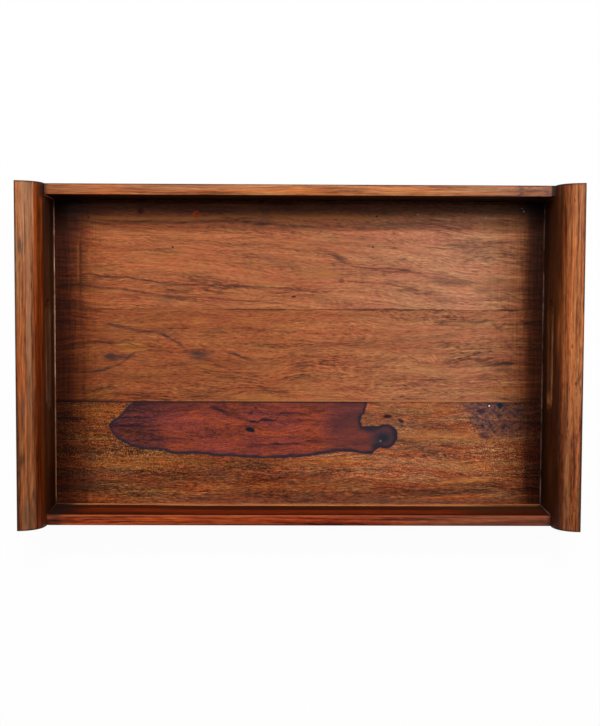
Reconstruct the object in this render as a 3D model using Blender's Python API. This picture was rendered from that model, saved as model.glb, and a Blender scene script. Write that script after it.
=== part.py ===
"""A serving tray of solid wood, lip to lip along X, rail to rail along Y, standing on Z = 0.

Three boards, tongued and grooved edge to edge, make the base. It floats in a groove that runs round the
inside of the frame. The frame is two straight rails between two moulded end boards. Each end board leans
in a little, rolls outward above the rails into a lip, and has a hand slot with eased edges. Two dowels
at each corner pin a rail to an end board.
"""
import math

import bmesh
import bpy
from mathutils import Matrix, Vector
from mathutils.geometry import interpolate_bezier

# Overall size, in metres
OVERALL_LENGTH = 0.457
OVERALL_DEPTH = 0.2815

# Rails
RAIL_HEIGHT = 0.059
RAIL_THICKNESS = 0.0092
RAIL_EASE = 0.001

# End boards: thickness and reach are taken at the height of the rails, outward from the inner face
END_HEIGHT = 0.084
END_THICKNESS = 0.012
END_LEAN = 0.0022
FLARE_REACH = 0.0195
LIP_THICKNESS = 0.0085
LIP_EASE = 0.0016
END_EASE = 0.001
FOOT_EASE = 0.0006

# How far each curve of the end board holds its first direction, as a share of its rise or reach
FLARE_FOOT_SHARE = 0.6
FLARE_LIP_SHARE = 0.66
LIP_SLOPE_SHARE = 0.06
COVE_FOOT_SHARE = 0.5
COVE_LIP_SHARE = 0.6

# Hand slots
SLOT_LENGTH = 0.095
SLOT_HEIGHT = 0.027
SLOT_CENTRE_HEIGHT = 0.043
SLOT_EASE = 0.0015

# Base boards, and the tongue that they all share
BASE_THICKNESS = 0.010
FRONT_BOARD_WIDTH = 0.0898
MIDDLE_BOARD_WIDTH = 0.0798
TONGUE_THICKNESS = 0.0034
TONGUE_LENGTH = 0.004
GROOVE_DEPTH = 0.0048

# Dowels
DOWEL_DIAMETER = 0.005
DOWEL_LENGTH = 0.022
DOWEL_DEPTH_IN_END = 0.006
DOWEL_CHAMFER = 0.0005
DOWEL_HEIGHT_SHARES = (0.36, 0.76)

# Clearances: a glued joint, a loose fit, and how far a cutter runs past what it cuts
GLUE_LINE = 0.0001
FIT_GAP = 0.0003
OVERRUN = 0.003

# Faces along each curve, and the angle up to which faces are shaded as one
FLARE_STEPS = 20
COVE_STEPS = 12
EASE_STEPS = 3
SLOT_END_STEPS = 12
DOWEL_SIDES = 20
SMOOTH_UP_TO = math.radians(30)

# Places that follow from the sizes
HALF_LENGTH = OVERALL_LENGTH / 2
HALF_DEPTH = OVERALL_DEPTH / 2
SEAT_X = HALF_LENGTH - FLARE_REACH
WELL_HALF_DEPTH = HALF_DEPTH - RAIL_THICKNESS
TONGUE_BOTTOM = (BASE_THICKNESS - TONGUE_THICKNESS) / 2
TONGUE_TOP = TONGUE_BOTTOM + TONGUE_THICKNESS
HALF_TURN = math.pi

# Colours of the lacquered wood
BASE_COLOURS = {
    "base_board_back": (0.42, 0.16, 0.065, 1.0),
    "base_board_middle": (0.40, 0.16, 0.06, 1.0),
    "base_board_front": (0.27, 0.11, 0.04, 1.0),
}
RAIL_COLOURS = {
    "back_rail": (0.36, 0.13, 0.05, 1.0),
    "front_rail": (0.25, 0.07, 0.03, 1.0),
}
END_COLOURS = {
    "right_end_board": (0.34, 0.12, 0.045, 1.0),
    "left_end_board": (0.34, 0.13, 0.05, 1.0),
}
DOWEL_COLOUR = (0.55, 0.38, 0.2, 1.0)


def lean_at(height):
    """How far outward of its place at the height of the rails the inner face of an end board is."""
    return END_LEAN * (1 - height / RAIL_HEIGHT)


def wood(name, colour, roughness):
    """Give a sub-part its own wood."""
    material = bpy.data.materials.new(name)
    material.use_nodes = True
    shader = material.node_tree.nodes["Principled BSDF"]
    shader.inputs["Base Color"].default_value = colour
    shader.inputs["Roughness"].default_value = roughness
    shader.inputs["Metallic"].default_value = 0.0
    return material


def finished_mesh(name, bm):
    """Turn a bmesh into a mesh with its faces pointing out and its curves shaded smooth."""
    bmesh.ops.recalc_face_normals(bm, faces=bm.faces)
    mesh = bpy.data.meshes.new(name)
    bm.to_mesh(mesh)
    bm.free()
    mesh.shade_smooth()
    mesh.set_sharp_from_angle(angle=SMOOTH_UP_TO)
    return mesh


def place(name, mesh, location=(0, 0, 0), turn=0.0, colour=None, roughness=0.3):
    """Put a mesh in the tray as a sub-part with a wood of its own."""
    piece = bpy.data.objects.new(name, mesh)
    bpy.context.collection.objects.link(piece)
    piece.location = location
    piece.rotation_euler.z = turn
    piece.parent = TRAY
    if colour:
        if not mesh.materials:
            mesh.materials.append(None)
        piece.material_slots[0].link = "OBJECT"
        piece.material_slots[0].material = wood(name, colour, roughness)
    return piece


def cutter(name, mesh, location=(0, 0, 0), turn=0.0):
    """Put a mesh in the tray as a tool that only cuts other pieces."""
    tool = place(name, mesh, location, turn)
    tool.hide_render = True
    tool.display_type = "WIRE"
    return tool


def cut(piece, tool):
    """Take a cutter's shape out of a piece."""
    boolean = piece.modifiers.new("cut " + tool.name, "BOOLEAN")
    boolean.operation = "DIFFERENCE"
    boolean.solver = "EXACT"
    boolean.object = tool


def eased(corners):
    """Outline through (u, v, radius) corners, each one rounded to its radius."""
    outline = []
    points = [Vector(corner[:2]) for corner in corners]
    for index, (u, v, radius) in enumerate(corners):
        corner = points[index]
        if not radius:
            outline.append(corner)
            continue
        to_last = (points[index - 1] - corner).normalized()
        to_next = (points[(index + 1) % len(points)] - corner).normalized()
        half_angle = to_last.angle(to_next) / 2
        centre = corner + (to_last + to_next).normalized() * radius / math.sin(half_angle)
        first = (corner + to_last * radius / math.tan(half_angle) - centre).normalized()
        last = (corner + to_next * radius / math.tan(half_angle) - centre).normalized()
        for step in range(EASE_STEPS + 1):
            outline.append(centre + radius * first.slerp(last, step / EASE_STEPS))
    return outline


def loft(rings):
    """Closed bmesh through rings of points that correspond one to one."""
    bm = bmesh.new()
    loops = [[bm.verts.new(point) for point in ring] for ring in rings]
    for loop, following in zip(loops, loops[1:]):
        for index in range(len(loop)):
            after = (index + 1) % len(loop)
            bm.faces.new((loop[index], loop[after], following[after], following[index]))
    bm.faces.new(loops[0])
    bm.faces.new(loops[-1])
    return bm, loops


def box_into(bm, lowest, highest):
    """Add a box between two corners to a bmesh."""
    lowest, highest = Vector(lowest), Vector(highest)
    size = Matrix.Diagonal((highest - lowest).to_4d())
    bmesh.ops.create_cube(bm, size=1.0, matrix=Matrix.Translation((lowest + highest) / 2) @ size)


def end_board_outline():
    """Section of an end board: u is outward of the seat of the rails, v is up.

    The first point is the top of the seat and the last is its foot, so the seat closes the outline.
    """
    rise = END_HEIGHT - RAIL_HEIGHT
    seat_top = Vector((0, RAIL_HEIGHT))
    seat_foot = Vector((lean_at(0), 0))
    up_the_seat = (seat_top - seat_foot).normalized()
    lip = Vector((FLARE_REACH, END_HEIGHT))
    lip_handle = lip - FLARE_REACH * FLARE_LIP_SHARE * Vector((1, LIP_SLOPE_SHARE))
    flare = interpolate_bezier(seat_top, seat_top + rise * FLARE_FOOT_SHARE * up_the_seat,
                               lip_handle, lip, FLARE_STEPS + 1)

    overhang = FLARE_REACH - END_THICKNESS
    nose = Vector((FLARE_REACH, END_HEIGHT - LIP_THICKNESS))
    cove_foot = Vector((END_THICKNESS, RAIL_HEIGHT))
    cove_rise = nose.y - cove_foot.y
    cove = interpolate_bezier(nose, nose - Vector((overhang * COVE_LIP_SHARE, 0)),
                              cove_foot + Vector((0, cove_rise * COVE_FOOT_SHARE)), cove_foot,
                              COVE_STEPS + 1)

    corners = [(*point, 0) for point in flare[:-1]]
    corners.append((*lip, LIP_EASE))
    corners.append((*nose, LIP_EASE))
    corners += [(*point, 0) for point in cove[1:]]
    corners.append((END_THICKNESS, 0, FOOT_EASE))
    corners.append((*seat_foot, FOOT_EASE))
    return eased(corners)


def end_board_mesh():
    """The moulded section run across the tray, with its two end-grain faces eased outside the seat."""
    outline = end_board_outline()
    rings = [[(u, y, v) for u, v in outline] for y in (-HALF_DEPTH, HALF_DEPTH)]
    bm, loops = loft(rings)
    rims = [bm.edges.get(pair) for loop in loops for pair in zip(loop, loop[1:])]
    bmesh.ops.bevel(bm, geom=rims, offset=END_EASE, segments=2, profile=0.5, affect="EDGES",
                    clamp_overlap=True)
    return finished_mesh("end_board", bm)


def slot_ring(offset, growth, follows_lean):
    """Outline of the hand slot, grown all round, a little in from one face of the end board."""
    half_run = (SLOT_LENGTH - SLOT_HEIGHT) / 2
    radius = SLOT_HEIGHT / 2 + growth
    ring = []
    for side in (1, -1):
        for step in range(SLOT_END_STEPS + 1):
            angle = side * math.pi / 2 - math.pi * step / SLOT_END_STEPS
            y = side * half_run + radius * math.cos(angle)
            z = SLOT_CENTRE_HEIGHT + radius * math.sin(angle)
            ring.append((offset + (lean_at(z) if follows_lean else 0), y, z))
    return ring


def slot_cutter_mesh():
    """The hand slot as a solid, whose mouths widen in a quarter round at both faces of the board."""
    rings = [slot_ring(-OVERRUN, SLOT_EASE, True)]
    turns = [math.pi / 2 * step / EASE_STEPS for step in range(EASE_STEPS + 1)]
    mouth = [(SLOT_EASE * (1 - math.cos(turn)), SLOT_EASE * (1 - math.sin(turn))) for turn in turns]
    rings += [slot_ring(inset, growth, True) for inset, growth in mouth]
    rings += [slot_ring(END_THICKNESS - inset, growth, False) for inset, growth in reversed(mouth)]
    rings.append(slot_ring(END_THICKNESS + OVERRUN, SLOT_EASE, False))
    return finished_mesh("hand_slot", loft(rings)[0])


def rail_mesh():
    """A rail about its own centre line, with its ends cut to the lean of the end boards."""
    half = RAIL_THICKNESS / 2
    outline = eased([(half, 0, FOOT_EASE), (half, RAIL_HEIGHT, RAIL_EASE),
                     (-half, RAIL_HEIGHT, RAIL_EASE), (-half, 0, FOOT_EASE)])
    rings = [[(side * (SEAT_X + lean_at(v) - GLUE_LINE), u, v) for u, v in outline]
             for side in (-1, 1)]
    return finished_mesh("rail", loft(rings)[0])


def base_board_mesh(name, width, front_edge, back_edge):
    """A base board about its own middle. Each edge is a tongue, a groove or the frame's tongue."""
    half = width / 2
    reach = {"tongue": TONGUE_LENGTH, "groove": -(TONGUE_LENGTH + FIT_GAP)}
    slack = {"tongue": 0, "groove": FIT_GAP}
    outline = []
    for side, edge in ((-1, front_edge), (1, back_edge)):
        low, high = TONGUE_BOTTOM - slack[edge], TONGUE_TOP + slack[edge]
        tip = side * (half + reach[edge])
        edge_points = [(side * half, 0), (side * half, low), (tip, low),
                       (tip, high), (side * half, high), (side * half, BASE_THICKNESS)]
        outline += edge_points if side == 1 else edge_points[::-1]
    half_length = SEAT_X + lean_at(BASE_THICKNESS) - FIT_GAP + TONGUE_LENGTH
    bm, _ = loft([[(x, y, z) for y, z in outline] for x in (-half_length, half_length)])
    return finished_mesh(name, bm)


def end_rebates_mesh():
    """What is cut away above and below the tongues at both ends of every base board."""
    bm = bmesh.new()
    shoulder = SEAT_X + lean_at(BASE_THICKNESS) - FIT_GAP
    tip = shoulder + TONGUE_LENGTH + OVERRUN
    for side in (-1, 1):
        near, far = sorted((side * shoulder, side * tip))
        for low, high in ((-OVERRUN, TONGUE_BOTTOM), (TONGUE_TOP, BASE_THICKNESS + OVERRUN)):
            box_into(bm, (near, -HALF_DEPTH, low), (far, HALF_DEPTH, high))
    return finished_mesh("end_rebates", bm)


def frame_groove_mesh():
    """A slab as large as the base with its tongues, which leaves the groove round the frame."""
    bm = bmesh.new()
    half_length = SEAT_X + lean_at(BASE_THICKNESS) + GROOVE_DEPTH
    half_depth = WELL_HALF_DEPTH + GROOVE_DEPTH
    box_into(bm, (-half_length, -half_depth, TONGUE_BOTTOM - FIT_GAP),
             (half_length, half_depth, TONGUE_TOP + FIT_GAP))
    return finished_mesh("frame_groove", bm)


def dowel_mesh(name, radius, length, chamfer):
    """A round bar about its own middle, along X."""
    bm = bmesh.new()
    bmesh.ops.create_cone(bm, cap_ends=True, segments=DOWEL_SIDES, radius1=radius, radius2=radius,
                          depth=length, matrix=Matrix.Rotation(HALF_TURN / 2, 4, "Y"))
    if chamfer:
        rims = [edge for edge in bm.edges
                if abs(edge.verts[0].co.x - edge.verts[1].co.x) < chamfer]
        bmesh.ops.bevel(bm, geom=rims, offset=chamfer, segments=1, affect="EDGES")
    return finished_mesh(name, bm)


def dowel_places():
    """Name, location and turn of every dowel: two at each corner of the frame."""
    for side_name, side in (("left", -1), ("right", 1)):
        for rail_name, across in (("back", 1), ("front", -1)):
            for level_name, share in zip(("low", "high"), DOWEL_HEIGHT_SHARES):
                height = share * RAIL_HEIGHT
                far_end = SEAT_X + lean_at(height) + DOWEL_DEPTH_IN_END
                location = (side * (far_end - DOWEL_LENGTH / 2),
                            across * (HALF_DEPTH - RAIL_THICKNESS / 2), height)
                turn = HALF_TURN if side < 0 else 0.0
                yield f"dowel_{side_name}_{rail_name}_{level_name}", location, turn


def make_base(rebates):
    """The three base boards, from the front rail to the back rail."""
    front_edge = -WELL_HALF_DEPTH + FIT_GAP
    front_width = FRONT_BOARD_WIDTH - FIT_GAP - GLUE_LINE / 2
    middle_edge = -WELL_HALF_DEPTH + FRONT_BOARD_WIDTH + GLUE_LINE / 2
    middle_width = MIDDLE_BOARD_WIDTH - GLUE_LINE
    back_edge = middle_edge + MIDDLE_BOARD_WIDTH
    back_width = WELL_HALF_DEPTH - FIT_GAP - back_edge
    boards = (
        ("base_board_front", front_edge, front_width, "tongue", "tongue"),
        ("base_board_middle", middle_edge, middle_width, "groove", "tongue"),
        ("base_board_back", back_edge, back_width, "groove", "tongue"),
    )
    for name, edge, width, at_front, at_back in boards:
        mesh = base_board_mesh(name, width, at_front, at_back)
        board = place(name, mesh, (0, edge + width / 2, 0), colour=BASE_COLOURS[name])
        cut(board, rebates)


def make_frame(groove, bores):
    """The rails and the end boards: the front and the left ones are the others turned half round."""
    rail = rail_mesh()
    end_board = end_board_mesh()
    slot = slot_cutter_mesh()
    rail_y = HALF_DEPTH - RAIL_THICKNESS / 2
    for name, side, turn in (("back_rail", 1, 0.0), ("front_rail", -1, HALF_TURN)):
        piece = place(name, rail, (0, side * rail_y, 0), turn, RAIL_COLOURS[name])
        cut(piece, groove)
        cut(piece, bores)
    for name, side, turn in (("right_end_board", 1, 0.0), ("left_end_board", -1, HALF_TURN)):
        seat = (side * SEAT_X, 0, 0)
        piece = place(name, end_board, seat, turn, END_COLOURS[name])
        cut(piece, cutter(name + "_slot_cutter", slot, seat, turn))
        cut(piece, groove)
        cut(piece, bores)


def make_bores():
    """One cutter that holds the bores of all the dowels, each with its clearance."""
    bm = bmesh.new()
    bore = dowel_mesh("bore", DOWEL_DIAMETER / 2 + FIT_GAP, DOWEL_LENGTH + 2 * FIT_GAP, 0.0)
    for _, location, turn in dowel_places():
        bore.transform(Matrix.Translation(location))
        bm.from_mesh(bore)
        bore.transform(Matrix.Translation(location).inverted())
    bpy.data.meshes.remove(bore)
    return cutter("dowel_bores", finished_mesh("dowel_bores", bm))


def make_dowels():
    """Eight alike dowels."""
    mesh = dowel_mesh("dowel", DOWEL_DIAMETER / 2, DOWEL_LENGTH, DOWEL_CHAMFER)
    for name, location, turn in dowel_places():
        place(name, mesh, location, turn, DOWEL_COLOUR, 0.7)


for startup_object in list(bpy.data.objects):
    bpy.data.objects.remove(startup_object, do_unlink=True)

TRAY = bpy.data.objects.new("tray", None)
bpy.context.collection.objects.link(TRAY)

make_base(cutter("end_rebates", end_rebates_mesh()))
make_frame(cutter("frame_groove", frame_groove_mesh()), make_bores())
make_dowels()
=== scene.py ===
import math
from functools import reduce

import bmesh
import bpy
from mathutils import Matrix, Vector


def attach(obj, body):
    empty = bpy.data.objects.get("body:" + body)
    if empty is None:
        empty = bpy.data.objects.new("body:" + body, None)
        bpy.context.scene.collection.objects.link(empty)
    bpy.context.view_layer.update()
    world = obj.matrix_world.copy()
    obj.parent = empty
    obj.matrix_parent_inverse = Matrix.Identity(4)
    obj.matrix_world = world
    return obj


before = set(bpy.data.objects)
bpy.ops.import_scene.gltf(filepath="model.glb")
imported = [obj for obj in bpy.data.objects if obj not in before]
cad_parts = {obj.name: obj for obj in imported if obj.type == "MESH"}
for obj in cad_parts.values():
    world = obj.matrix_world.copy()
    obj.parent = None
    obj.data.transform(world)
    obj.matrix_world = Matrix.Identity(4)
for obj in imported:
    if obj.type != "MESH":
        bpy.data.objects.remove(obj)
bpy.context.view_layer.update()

# Wooden serving tray: the looks of its boards, rails and end boards.
# The CAD solids stay, with the figure of each board in its material. Places on the wood are in
# millimetres in the tray's own frame: x along the tray, y towards the back rail, z up. A colour is
# its red, green and blue, and a tint is three numbers that a colour is multiplied by.

MM = 0.001
FLOOR_TOP = 10.0
WELL_HALF_LENGTH = 210.83
WELL_HALF_DEPTH = 131.55
WELL_HALF_LENGTH_AT_TOP = 209.0
RAIL_TOP = 59.0
RAIL_OUTER_Y = 140.75
LIP_X = 228.5
SEED_STEP = 17.3
NOISE_GAIN = 3.0
VEIN_FADE = 12.0
LINE_FADE = 4.0
BASE_ROUGHNESS = 0.48
WALL_ROUGHNESS = 0.45
BEAD_ROUGHNESS = 0.35


class Signal:
    """A number, place, colour or shape on its way through the nodes."""

    def __init__(self, nodes, socket):
        self.nodes = nodes
        self.socket = socket

    def other(self, output):
        """Another output of the node that this comes from."""
        return Signal(self.nodes, self.socket.node.outputs[output])

    def maths(self, operation, *values):
        return self.nodes.node("ShaderNodeMath", {"operation": operation}, values)

    def __add__(self, other):
        return self.maths("ADD", self, other)

    def __sub__(self, other):
        return self.maths("SUBTRACT", self, other)

    def __rsub__(self, other):
        return self.maths("SUBTRACT", other, self)

    def __mul__(self, other):
        return self.maths("MULTIPLY", self, other)

    def __truediv__(self, other):
        return self.maths("DIVIDE", self, other)

    def __rtruediv__(self, other):
        return self.maths("DIVIDE", other, self)

    def __pow__(self, other):
        return self.maths("POWER", self, other)

    def __rpow__(self, other):
        return self.maths("POWER", other, self)

    def __abs__(self):
        return self.maths("ABSOLUTE", self)

    __radd__ = __add__
    __rmul__ = __mul__

    def least(self, other):
        return self.maths("MINIMUM", self, other)

    def most(self, other):
        return self.maths("MAXIMUM", self, other)

    def step(self, start, end, low=0.0, high=1.0):
        """Goes smoothly from low to high as this goes from start to end."""
        return self.nodes.node(
            "ShaderNodeMapRange",
            {"interpolation_type": "SMOOTHSTEP"},
            {"Value": self, 1: start, 2: end, 3: low, 4: high},
        )

    def between(self, start, full, last, end):
        """1 where this is from full to last, and smoothly down to 0 at start and at end."""
        return self.step(start, full) * self.step(end, last)


class Nodes:
    """Builds the nodes of one material, world or modifier."""

    def __init__(self, tree):
        self.tree = tree
        tree.nodes.clear()

    def node(self, kind, settings=None, inputs=(), output=0):
        """Adds a node: its settings first, then the values and links of its sockets."""
        node = self.tree.nodes.new(kind)
        for key, value in (settings or {}).items():
            if key == "stops":
                self.set_stops(node.color_ramp, value)
            elif key == "points":
                self.set_points(node.mapping, value)
            else:
                setattr(node, key, value)
        pairs = inputs.items() if isinstance(inputs, dict) else enumerate(inputs)
        for key, value in pairs:
            socket = node.inputs[key]
            if isinstance(value, Signal):
                self.tree.links.new(value.socket, socket)
            elif socket.type == "RGBA":
                socket.default_value = (*value, 1.0)
            else:
                socket.default_value = value
        return Signal(self, node.outputs[output]) if node.outputs else None

    def set_stops(self, ramp, stops):
        while len(ramp.elements) < len(stops):
            ramp.elements.new(1.0)
        for element, (position, colour) in zip(ramp.elements, stops):
            element.position = position
            element.color = (*colour, 1.0)

    def set_points(self, mapping, points):
        curve = mapping.curves[0]
        curve.points[0].location = points[0]
        curve.points[1].location = points[-1]
        for point in points[1:-1]:
            curve.points.new(*point)
        mapping.update()


class Finish(Nodes):
    """The nodes of one material."""

    def __init__(self, name):
        self.material = bpy.data.materials.new(name)
        self.material.use_nodes = True
        super().__init__(self.material.node_tree)

    def mix(self, share, first, second, blend="MIX"):
        """Mixes two colours."""
        return self.node(
            "ShaderNodeMix",
            {"data_type": "RGBA", "blend_type": blend},
            {0: share, 6: first, 7: second},
            output=2,
        )

    def ramp(self, stops, value):
        return self.node("ShaderNodeValToRGB", {"stops": stops}, [value])

    def vector(self, operation, *values, output=0):
        return self.node("ShaderNodeVectorMath", {"operation": operation}, values, output)

    def noise(self, place, detail=2.0, roughness=0.5):
        """Smooth noise whose blotches are about as large as one unit of place; about -1 to 1."""
        value = self.node(
            "ShaderNodeTexNoise",
            {"noise_dimensions": "3D"},
            {"Vector": place, "Scale": 1.0, "Detail": detail, "Roughness": roughness},
        )
        return (value - 0.5) * NOISE_GAIN

    def surface(self, shader):
        self.node("ShaderNodeOutputMaterial", None, {"Surface": shader})


class Wood(Finish):
    """The finish of one board, worked out in millimetres, with its grain along x or y."""

    def __init__(self, name, seed=0.0, grain_along_y=False):
        super().__init__(name)
        metres = self.node("ShaderNodeTexCoord", output="Object")
        self.place = self.vector("MULTIPLY", metres, (1 / MM, 1 / MM, 1 / MM))
        self.x = self.node("ShaderNodeSeparateXYZ", None, [self.place])
        self.y = self.x.other("Y")
        self.z = self.x.other("Z")
        self.along, self.across = (self.y, self.x) if grain_along_y else (self.x, self.y)
        self.grain = self.joined(self.along, self.across, self.z)
        self.seed = seed
        self.colour = None

    def joined(self, x, y, z=0.0):
        return self.node("ShaderNodeCombineXYZ", None, [x, y, z])

    def flat(self):
        """A place without its height."""
        return self.joined(self.x, self.y)

    def wavy(self, length, width, sway):
        """Bends the grain sideways by up to about sway, in waves of the given length and width."""
        self.across = self.across + self.streaks(length, width, detail=1.5) * sway
        self.grain = self.joined(self.along, self.across, self.z)

    def streaks(self, length, width, detail=2.0, roughness=0.5, turn=0.0):
        """Noise drawn out along the grain, or at an angle to it in degrees; about -1 to 1."""
        self.seed += SEED_STEP
        place = self.node(
            "ShaderNodeMapping",
            {"vector_type": "TEXTURE"},
            {
                "Vector": self.grain,
                "Location": (self.seed * length, self.seed * width, 0.0),
                "Rotation": (0.0, 0.0, math.radians(turn)),
                "Scale": (length, width, width),
            },
        )
        return self.noise(place, detail, roughness)

    def paint(self, share, colour):
        self.colour = self.mix(share, self.colour, colour)

    def tinge(self, share, tint):
        self.colour = self.mix(share, self.colour, tint, "MULTIPLY")

    def tint_along(self, tints, half_length=WELL_HALF_LENGTH):
        """Tints that follow each other along the grain, over a board of the given half length."""
        share = (self.along + half_length) / (2 * half_length)
        self.tinge(1.0, self.ramp(tints, share))

    def near(self, x, y):
        """The distance from a place."""
        away = self.vector("SUBTRACT", self.flat(), (x, y, 0.0))
        return self.vector("LENGTH", away, output="Value")

    def spots(self, table, place, softness=1.0):
        """The strongest of a table of oval spots."""
        return reduce(Signal.most, (self.spot(place, softness, *row) for row in table))

    def spot(self, place, softness, x, y, half_length, half_width, strength, turn=0):
        turned = Matrix.Rotation(math.radians(turn), 3, "Z")
        length_way = turned @ Vector((1.0, 0.0, 0.0)) / half_length
        width_way = turned @ Vector((0.0, 1.0, 0.0)) / half_width
        middle = Vector((x, y, 0.0))
        local = self.joined(
            self.vector("DOT_PRODUCT", place, length_way, output="Value"),
            self.vector("DOT_PRODUCT", place, width_way, output="Value"),
        )
        centre = (middle.dot(length_way), middle.dot(width_way), 0.0)
        reach = self.vector("DISTANCE", local, centre, output="Value")
        return reach.step(1.0 + softness * 0.5, 1.0 - softness * 0.75, 0.0, strength)

    def curve(self, points, along, low, high):
        """A height that follows points as along runs over them; low and high bound the heights."""
        start, end = points[0][0], points[-1][0]
        shares = [((x - start) / (end - start), (y - low) / (high - low)) for x, y in points]
        share = (along - start) / (end - start)
        height = self.node("ShaderNodeFloatCurve", {"points": shares}, {"Factor": 1.0, "Value": share})
        return height * (high - low) + low

    def vein(self, points, half_width, strength, along, across):
        """A line through the points, thinning out at both ends."""
        start, end = points[0][0], points[-1][0]
        heights = [y for _, y in points]
        line = self.curve(points, along, min(heights) - 1.0, max(heights) + 1.0)
        fade = min(VEIN_FADE, (end - start) * 0.3)
        body = along.between(start, start + fade, end - fade, end)
        return abs(across - line).step(half_width * 1.4, half_width * 0.25, 0.0, strength) * body


# Colours and tints of the marks

PURPLE_BROWN = (0.075, 0.030, 0.024)
BLACK_BROWN = (0.020, 0.009, 0.008)
PURPLE_BLACK = (0.018, 0.010, 0.016)
OCHRE = (0.44, 0.155, 0.032)
BRIGHT_GOLD = (0.62, 0.235, 0.075)
PALE_SPECK = (0.50, 0.44, 0.40)
REDDER = (1.02, 0.90, 0.92)
GOLDEN = (0.98, 1.12, 1.02)

FRONT_REDDER = (1.12, 0.80, 0.66)
FRONT_GOLDEN = (0.92, 1.12, 1.16)
FRONT_FOOT_TINT = (0.74, 0.68, 0.58)
JOINT_GOLD = (0.42, 0.165, 0.062)
BURR_BROWN = (0.090, 0.042, 0.054)
BURR_PURPLE = (0.044, 0.023, 0.035)
BURR_OCHRE = (0.34, 0.125, 0.042)
BURR_GOLD = (0.42, 0.15, 0.045)
DEEP_BLUE = (0.005, 0.026, 0.050)

CRIMSON = (0.92, 0.92, 1.2)
EMBER = (1.1, 1.05, 0.7)
DUSKY_RED = (0.135, 0.038, 0.036)
LOBE_BROWN = (0.074, 0.032, 0.038)
LOBE_BLUE = (0.017, 0.021, 0.031)
KNOT_BLACK = (0.007, 0.009, 0.016)
RIM_PURPLE = (0.052, 0.022, 0.030)
RIM_BLACK = (0.021, 0.017, 0.029)
EYE_BLACK = (0.022, 0.009, 0.013)

WALL_REDDER = (1.08, 0.86, 0.72)
WALL_GOLDEN = (0.93, 1.08, 1.16)
BACK_WALL_SHADE = (0.042, 0.042, 0.085)
BACK_RAIL_PURPLE = (0.085, 0.036, 0.050)
FRONT_WALL_SHADE = (0.031, 0.0046, 0.0011)
FRONT_WALL_OLIVE = (0.048, 0.019, 0.006)
FRONT_WALL_BAND_RED = (0.235, 0.025, 0.0035)
FRONT_WALL_TOP_SHADE = (0.020, 0.004, 0.001)
FRONT_FOOT_HIGHLIGHT = (0.92, 0.37, 0.135)
FRONT_ARRIS_HIGHLIGHT = (0.40, 0.075, 0.020)
FRONT_RAIL_BROWN = (0.205, 0.060, 0.030)

LEFT_STEEP_SHADE_TINT = (1.0, 0.52, 0.22)
LEFT_CREST_SHEEN = (0.32, 0.16, 0.088)
LEFT_LIP_TINT = (0.98, 0.82, 0.58)
LEFT_HOLLOW_SHADE = (0.64, 0.54, 0.48)
LEFT_BACK_FOOT_SHADE = (0.48, 0.46, 0.52)
LEFT_FRONT_FOOT_SHADE = (0.5, 0.42, 0.4)
LEFT_END_MARK = (0.09, 0.050, 0.030)
LEFT_END_STREAK = (0.42, 0.105, 0.018)
LEFT_END_DARK = (0.012, 0.006, 0.005)

RIGHT_TINT = (1.04, 1.10, 1.06)
RIGHT_FRONT_TINT = (0.80, 0.76, 0.78)
RIGHT_BACK_FOOT_SHADE = (0.7, 0.66, 0.72)
RIGHT_STEEP_SHADE_TINT = (1.0, 0.85, 0.75)
RIGHT_FLECK_TINT = (0.50, 0.40, 0.44)
RIGHT_END_MARK = (0.10, 0.022, 0.010)
RIGHT_END_GLINT_COLOUR = (0.50, 0.16, 0.045)
RIGHT_END_DAPPLE = (0.045, 0.017, 0.015)

# Figure of the base boards

# Veins of dark or golden wood: their points, half width and strength.
BACK_BOARD_VEINS = (
    (((-190.0, 68.7), (-171.5, 66.5), (-145.8, 64.4), (-132.9, 62.8), (-115.7, 60.3), (-102.9, 59.0),
      (-68.5, 58.8), (-34.1, 57.2), (0.4, 54.7), (24.0, 53.0)), 0.9, 0.9),
    (((-192.0, 59.5), (-175.9, 56.6), (-154.4, 55.0), (-144.1, 53.7), (-128.7, 51.6), (-111.5, 49.1),
      (-92.0, 48.0)), 1.0, 0.9),
    (((-188.6, 74.5), (-175.8, 74.6), (-162.9, 75.1), (-146.0, 76.6)), 0.7, 0.7),
    (((-85.7, 47.5), (-59.9, 45.9), (-29.7, 44.3), (-16.8, 42.6), (-3.9, 41.4), (12.0, 39.0)), 0.8, 0.6),
    (((-170.0, 112.1), (-158.4, 112.7), (-145.6, 112.3), (-128.4, 113.3), (-111.3, 112.1),
      (-72.8, 113.5), (-34.2, 111.6), (-8.4, 109.5), (30.0, 107.8)), 1.3, 0.7),
    (((56.0, 73.2), (73.5, 73.5), (86.5, 72.7), (96.8, 70.6), (109.0, 66.0)), 1.0, 0.6),
    (((106.0, 74.0), (121.0, 69.8), (129.6, 67.3), (148.0, 61.0)), 0.9, 0.5),
    (((166.0, 56.0), (186.0, 49.4), (194.7, 45.2), (206.0, 40.0)), 0.9, 0.55),
)
BACK_BOARD_GOLD = (
    (((-196.0, 115.8), (-165.0, 116.2), (-130.0, 115.6), (-100.0, 115.9), (-62.0, 117.2)), 1.2, 0.9),
    (((-40.0, 119.0), (0.0, 118.6), (40.0, 117.4), (75.0, 117.0)), 1.4, 0.6),
)
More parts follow.
